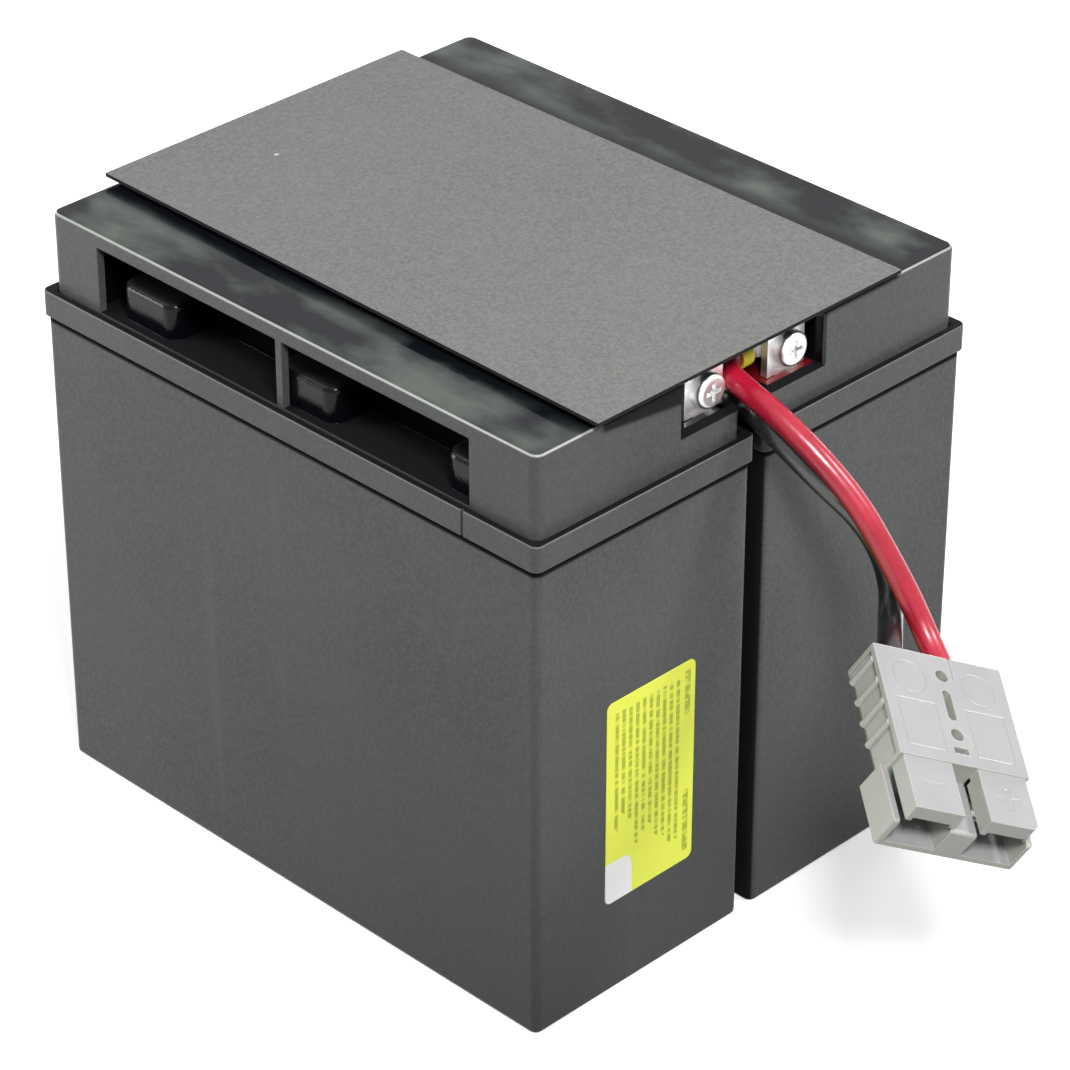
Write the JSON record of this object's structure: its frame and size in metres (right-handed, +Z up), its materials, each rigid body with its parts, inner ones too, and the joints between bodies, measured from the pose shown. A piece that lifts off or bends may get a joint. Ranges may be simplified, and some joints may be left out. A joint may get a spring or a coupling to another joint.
{
  "type": "ups battery cartridge",
  "caption": "Pair of sealed lead-acid batteries joined in series under a plastic sheet, with a short red and black lead to a genderless power connector.",
  "frame": {"origin": "under the middle of the battery pair, at the height it stands on", "axes": "+X along the batteries towards the cable end, +Y across the pair towards the far battery, +Z up"},
  "size_m": [0.2856, 0.1552, 0.17],
  "materials": {
    "case_plastic": "satin, fine moulded texture",
    "lid_plastic": "satin sides, glossy top",
    "valve_rubber": "matt",
    "positive_plate": "matt, pasted lead dioxide",
    "negative_plate": "matt, pasted sponge lead",
    "glass_mat": "matt glass fibre mat",
    "lead": "as cast",
    "tinned_metal": "bright tin plate",
    "red_resin": "poured resin",
    "black_resin": "poured resin",
    "zinc_steel": "bright zinc plate",
    "yellow_sleeve": "soft insulating sleeve",
    "black_sleeve": "shrunk sleeve",
    "sheet_plastic": "fine grained sheet",
    "foam": "closed cell foam with adhesive",
    "label": "printed in yellow and white fields",
    "connector_plastic": "satin moulded",
    "silver_plate": "silver plated copper",
    "spring_steel": "stainless",
    "red_insulation": "glossy flexible sleeve",
    "black_insulation": "glossy flexible sleeve"
  },
  "bodies": {
    "root": {"black_cable": "black_insulation", "black_contact": "silver_plate", "black_contact_spring": "spring_steel", "black_lug": "tinned_metal", "connector_housing": "connector_plastic", "end_label": "label", "far_cell_straps": "lead", "far_container": "case_plastic", "far_lid": "lid_plastic", "far_negative_plates": "negative_plate", "far_negative_resin": "black_resin", "far_negative_terminal": "tinned_metal", "far_positive_plates": "positive_plate", "far_positive_resin": "red_resin", "far_positive_terminal": "tinned_metal", "far_separators": "glass_mat", "far_valves": "valve_rubber", "far_vent_cover": "lid_plastic", "joining_pads": "foam", "near_cell_straps": "lead", "near_container": "case_plastic", "near_lid": "lid_plastic", "near_negative_plates": "negative_plate", "near_negative_resin": "black_resin", "near_negative_terminal": "tinned_metal", "near_positive_plates": "positive_plate", "near_positive_resin": "red_resin", "near_positive_terminal": "tinned_metal", "near_separators": "glass_mat", "near_valves": "valve_rubber", "near_vent_cover": "lid_plastic", "red_cable": "red_insulation", "red_contact": "silver_plate", "red_contact_spring": "spring_steel", "red_lug": "tinned_metal", "red_lug_sleeve": "yellow_sleeve", "series_link": "tinned_metal", "series_link_sleeve": "black_sleeve", "sheet_tapes": "foam", "terminal_nuts": "zinc_steel", "terminal_screws": "zinc_steel", "terminal_washers": "zinc_steel", "top_sheet": "sheet_plastic"}
  },
  "joints": []
}
